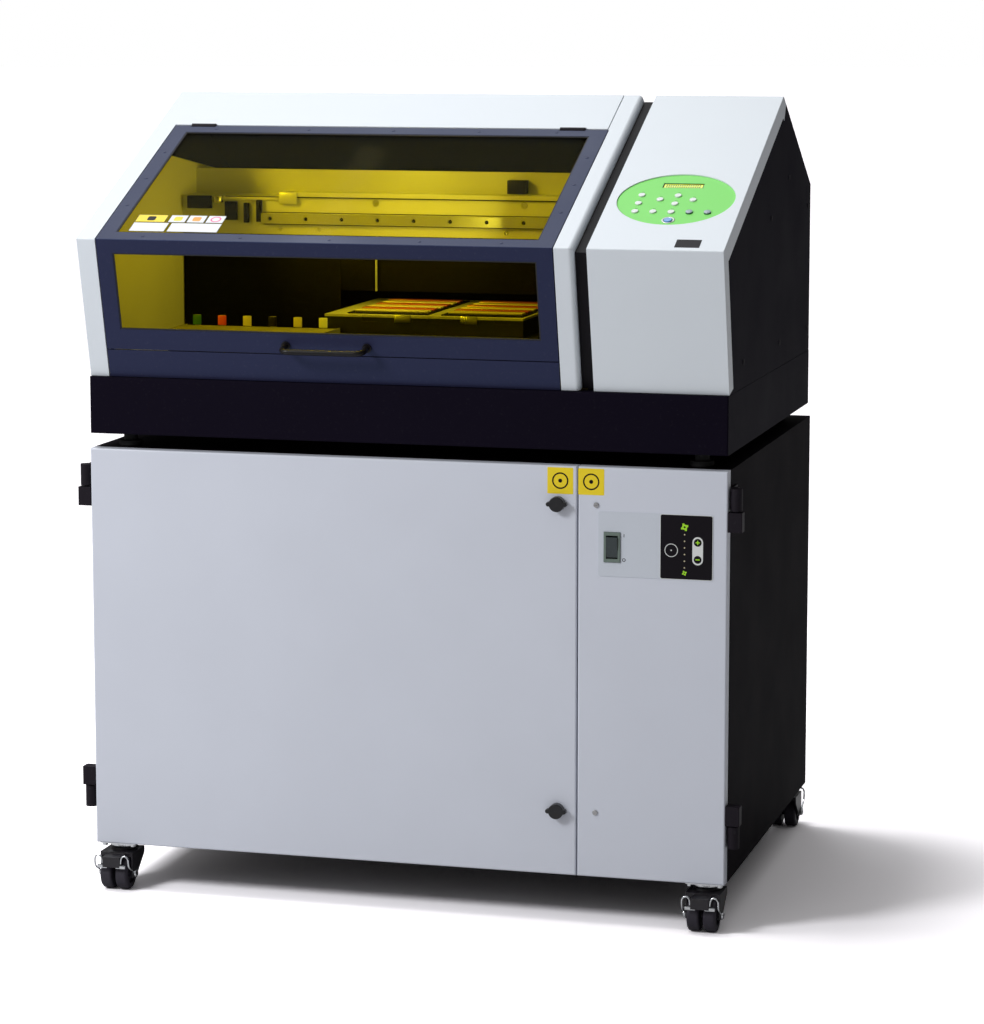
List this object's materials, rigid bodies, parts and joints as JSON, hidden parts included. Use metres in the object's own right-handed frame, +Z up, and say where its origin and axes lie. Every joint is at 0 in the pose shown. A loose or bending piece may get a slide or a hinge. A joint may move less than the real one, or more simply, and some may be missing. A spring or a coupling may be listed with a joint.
{
  "type": "flatbed uv printer",
  "caption": "Bench flatbed UV printer with hinged amber-windowed lid, sliding work table and print carriage, standing on a castor cabinet with fume filters and blower.",
  "frame": {"origin": "on the floor, below the middle of the whole object's bounding box", "axes": "+X to the right seen from the front, +Y from the front to the back, +Z up"},
  "size_m": [1.042, 0.7798, 1.2292],
  "materials": {
    "cabinet_black": "satin",
    "door_white": "satin",
    "cover_white": "satin",
    "cover_black": "satin",
    "lid_slate": "satin",
    "amber_acrylic": "gloss",
    "inner_black": "matte",
    "inner_steel": "satin",
    "beam_aluminium": "satin",
    "rail_steel": "polished",
    "table_aluminium": "satin",
    "carriage_grey": "matte",
    "panel_green": "satin",
    "display_board": "satin",
    "key_white": "satin",
    "key_blue": "satin",
    "handle_black": "gloss",
    "hinge_black": "matte",
    "latch_black": "satin",
    "screw_steel": "polished",
    "overlay_grey": "satin",
    "switch_black": "satin",
    "foot_rubber": "matte",
    "ink_plastic": "satin",
    "ink_tray_black": "matte",
    "filter_media": "matte",
    "blower_galvanised": "satin",
    "impeller_black": "matte",
    "motor_black": "matte",
    "collar_galvanised": "satin",
    "castor_plate": "satin",
    "castor_fork": "satin",
    "castor_tyre": "matte",
    "rocker_black": "gloss"
  },
  "bodies": {
    "housing": {"cabinet_body": "cabinet_black", "cabinet_bulkhead": "inner_black", "filter_cartridges": "filter_media", "blower_scroll": "blower_galvanised", "castor_mounts": "castor_plate", "fixed_hinge_leaves": "hinge_black", "base_chassis": "cover_black", "machine_feet": "foot_rubber", "side_frames": "inner_steel", "main_cover": "cover_white", "cheek_cover": "cover_white", "front_apron": "lid_slate", "left_side_cover": "cover_black", "right_side_cover": "cover_black", "rear_cover": "cover_black", "control_cover": "cover_white", "key_panel": "panel_green", "display_board": "display_board", "gantry_beam": "beam_aluminium", "linear_rails": "rail_steel", "drive_motors": "motor_black", "ink_bay": "ink_tray_black", "ink_cartridges": "ink_plastic", "hose_collars": "collar_galvanised"},
    "lid": {"lid_frame": "lid_slate", "lid_windows": "amber_acrylic", "lid_handle": "handle_black", "lid_hinges": "hinge_black"},
    "carriage": {"print_carriage": "carriage_grey"},
    "saddle": {"table_saddle": "inner_black"},
    "table": {"work_table": "table_aluminium"},
    "filter_door": {"filter_door": "door_white", "filter_door_hinges": "hinge_black"},
    "latch_upper": {"filter_latch_upper": "latch_black"},
    "latch_lower": {"filter_latch_lower": "latch_black"},
    "service_door": {"service_door": "door_white", "service_door_hinges": "hinge_black", "service_door_screws": "screw_steel", "airflow_panel": "overlay_grey", "power_switch_frame": "switch_black"},
    "power_rocker": {"power_rocker": "rocker_black"},
    "impeller": {"blower_impeller": "impeller_black"},
    "fork_front_left": {"castor_fork_front_left": "castor_fork"},
    "wheels_front_left": {"castor_wheels_front_left": "castor_tyre"},
    "fork_front_right": {"castor_fork_front_right": "castor_fork"},
    "wheels_front_right": {"castor_wheels_front_right": "castor_tyre"},
    "fork_rear_left": {"castor_fork_rear_left": "castor_fork"},
    "wheels_rear_left": {"castor_wheels_rear_left": "castor_tyre"},
    "fork_rear_right": {"castor_fork_rear_right": "castor_fork"},
    "wheels_rear_right": {"castor_wheels_rear_right": "castor_tyre"},
    "key_menu": {"key_menu": "key_white"},
    "key_enter": {"key_enter": "key_white"},
    "key_function": {"key_function": "key_white"},
    "key_setup": {"key_setup": "key_white"},
    "key_clean": {"key_clean": "key_white"},
    "key_up": {"key_up": "key_white"},
    "key_down": {"key_down": "key_white"},
    "key_left": {"key_left": "key_white"},
    "key_right": {"key_right": "key_white"},
    "key_power": {"key_power": "key_blue"}
  },
  "joints": [
    {"name": "lid_hinge", "type": "hinge", "parent": "housing", "child": "lid", "pos_m": [0, -0.03587, 1.17804], "axis": [-1, 0, 0], "range_deg": [0, 70]},
    {"name": "carriage_slide", "type": "slide", "parent": "housing", "child": "carriage", "axis": [1, 0, 0], "range_m": [-0.62, 0]},
    {"name": "table_slide", "type": "slide", "parent": "housing", "child": "saddle", "axis": [0, 1, 0], "range_m": [0, 0.25]},
    {"name": "table_lift", "type": "slide", "parent": "saddle", "child": "table", "axis": [0, 0, 1], "range_m": [-0.065, 0.006]},
    {"name": "filter_door_hinge", "type": "hinge", "parent": "housing", "child": "filter_door", "pos_m": [-0.5105, -0.33513, 0.384], "axis": [0, 0, -1], "range_deg": [0, 110]},
    {"name": "service_door_hinge", "type": "hinge", "parent": "housing", "child": "service_door", "pos_m": [0.5105, -0.33513, 0.384], "axis": [0, 0, 1], "range_deg": [0, 110]},
    {"name": "latch_upper_turn", "type": "hinge", "parent": "filter_door", "child": "latch_upper", "pos_m": [0.243, -0.34513, 0.638], "axis": [0, -1, 0], "range_deg": [0, 90]},
    {"name": "latch_lower_turn", "type": "hinge", "parent": "filter_door", "child": "latch_lower", "pos_m": [0.243, -0.34513, 0.172], "axis": [0, -1, 0], "range_deg": [0, 90]},
    {"name": "power_rocker_tilt", "type": "hinge", "parent": "service_door", "child": "power_rocker", "pos_m": [0.326, -0.34113, 0.576], "axis": [-1, 0, 0], "range_deg": [0, 16]},
    {"name": "impeller_spin", "type": "hinge", "parent": "housing", "child": "impeller", "pos_m": [0.342, 0.01987, 0.323], "axis": [1, 0, 0], "continuous": true},
    {"name": "swivel_front_left", "type": "hinge", "parent": "housing", "child": "fork_front_left", "pos_m": [-0.467, -0.30913, 0.062], "axis": [0, 0, 1], "continuous": true},
    {"name": "roll_front_left", "type": "hinge", "parent": "fork_front_left", "child": "wheels_front_left", "pos_m": [-0.467, -0.33613, 0.025], "axis": [1, 0, 0], "continuous": true},
    {"name": "swivel_front_right", "type": "hinge", "parent": "housing", "child": "fork_front_right", "pos_m": [0.467, -0.30913, 0.062], "axis": [0, 0, 1], "continuous": true},
    {"name": "roll_front_right", "type": "hinge", "parent": "fork_front_right", "child": "wheels_front_right", "pos_m": [0.467, -0.33613, 0.025], "axis": [1, 0, 0], "continuous": true},
    {"name": "swivel_rear_left", "type": "hinge", "parent": "housing", "child": "fork_rear_left", "pos_m": [-0.467, 0.30887, 0.062], "axis": [0, 0, 1], "continuous": true},
    {"name": "roll_rear_left", "type": "hinge", "parent": "fork_rear_left", "child": "wheels_rear_left", "pos_m": [-0.467, 0.33587, 0.025], "axis": [1, 0, 0], "continuous": true},
    {"name": "swivel_rear_right", "type": "hinge", "parent": "housing", "child": "fork_rear_right", "pos_m": [0.467, 0.30887, 0.062], "axis": [0, 0, 1], "continuous": true},
    {"name": "roll_rear_right", "type": "hinge", "parent": "fork_rear_right", "child": "wheels_rear_right", "pos_m": [0.467, 0.33587, 0.025], "axis": [1, 0, 0], "continuous": true},
    {"name": "press_menu", "type": "slide", "parent": "housing", "child": "key_menu", "axis": [0, 0.4088, -0.9126], "range_m": [0, 0.0012], "stiffness_N_per_m": 600, "springref_m": -0.0005},
    {"name": "press_enter", "type": "slide", "parent": "housing", "child": "key_enter", "axis": [0, 0.4088, -0.9126], "range_m": [0, 0.0012], "stiffness_N_per_m": 600, "springref_m": -0.0005},
    {"name": "press_function", "type": "slide", "parent": "housing", "child": "key_function", "axis": [0, 0.4088, -0.9126], "range_m": [0, 0.0012], "stiffness_N_per_m": 600, "springref_m": -0.0005},
    {"name": "press_setup", "type": "slide", "parent": "housing", "child": "key_setup", "axis": [0, 0.4088, -0.9126], "range_m": [0, 0.0012], "stiffness_N_per_m": 600, "springref_m": -0.0005},
    {"name": "press_clean", "type": "slide", "parent": "housing", "child": "key_clean", "axis": [0, 0.4088, -0.9126], "range_m": [0, 0.0012], "stiffness_N_per_m": 600, "springref_m": -0.0005},
    {"name": "press_up", "type": "slide", "parent": "housing", "child": "key_up", "axis": [0, 0.4088, -0.9126], "range_m": [0, 0.0012], "stiffness_N_per_m": 600, "springref_m": -0.0005},
    {"name": "press_down", "type": "slide", "parent": "housing", "child": "key_down", "axis": [0, 0.4088, -0.9126], "range_m": [0, 0.0012], "stiffness_N_per_m": 600, "springref_m": -0.0005},
    {"name": "press_left", "type": "slide", "parent": "housing", "child": "key_left", "axis": [0, 0.4088, -0.9126], "range_m": [0, 0.0012], "stiffness_N_per_m": 600, "springref_m": -0.0005},
    {"name": "press_right", "type": "slide", "parent": "housing", "child": "key_right", "axis": [0, 0.4088, -0.9126], "range_m": [0, 0.0012], "stiffness_N_per_m": 600, "springref_m": -0.0005},
    {"name": "press_power", "type": "slide", "parent": "housing", "child": "key_power", "axis": [0, 0.4088, -0.9126], "range_m": [0, 0.0012], "stiffness_N_per_m": 600, "springref_m": -0.0005}
  ]
}
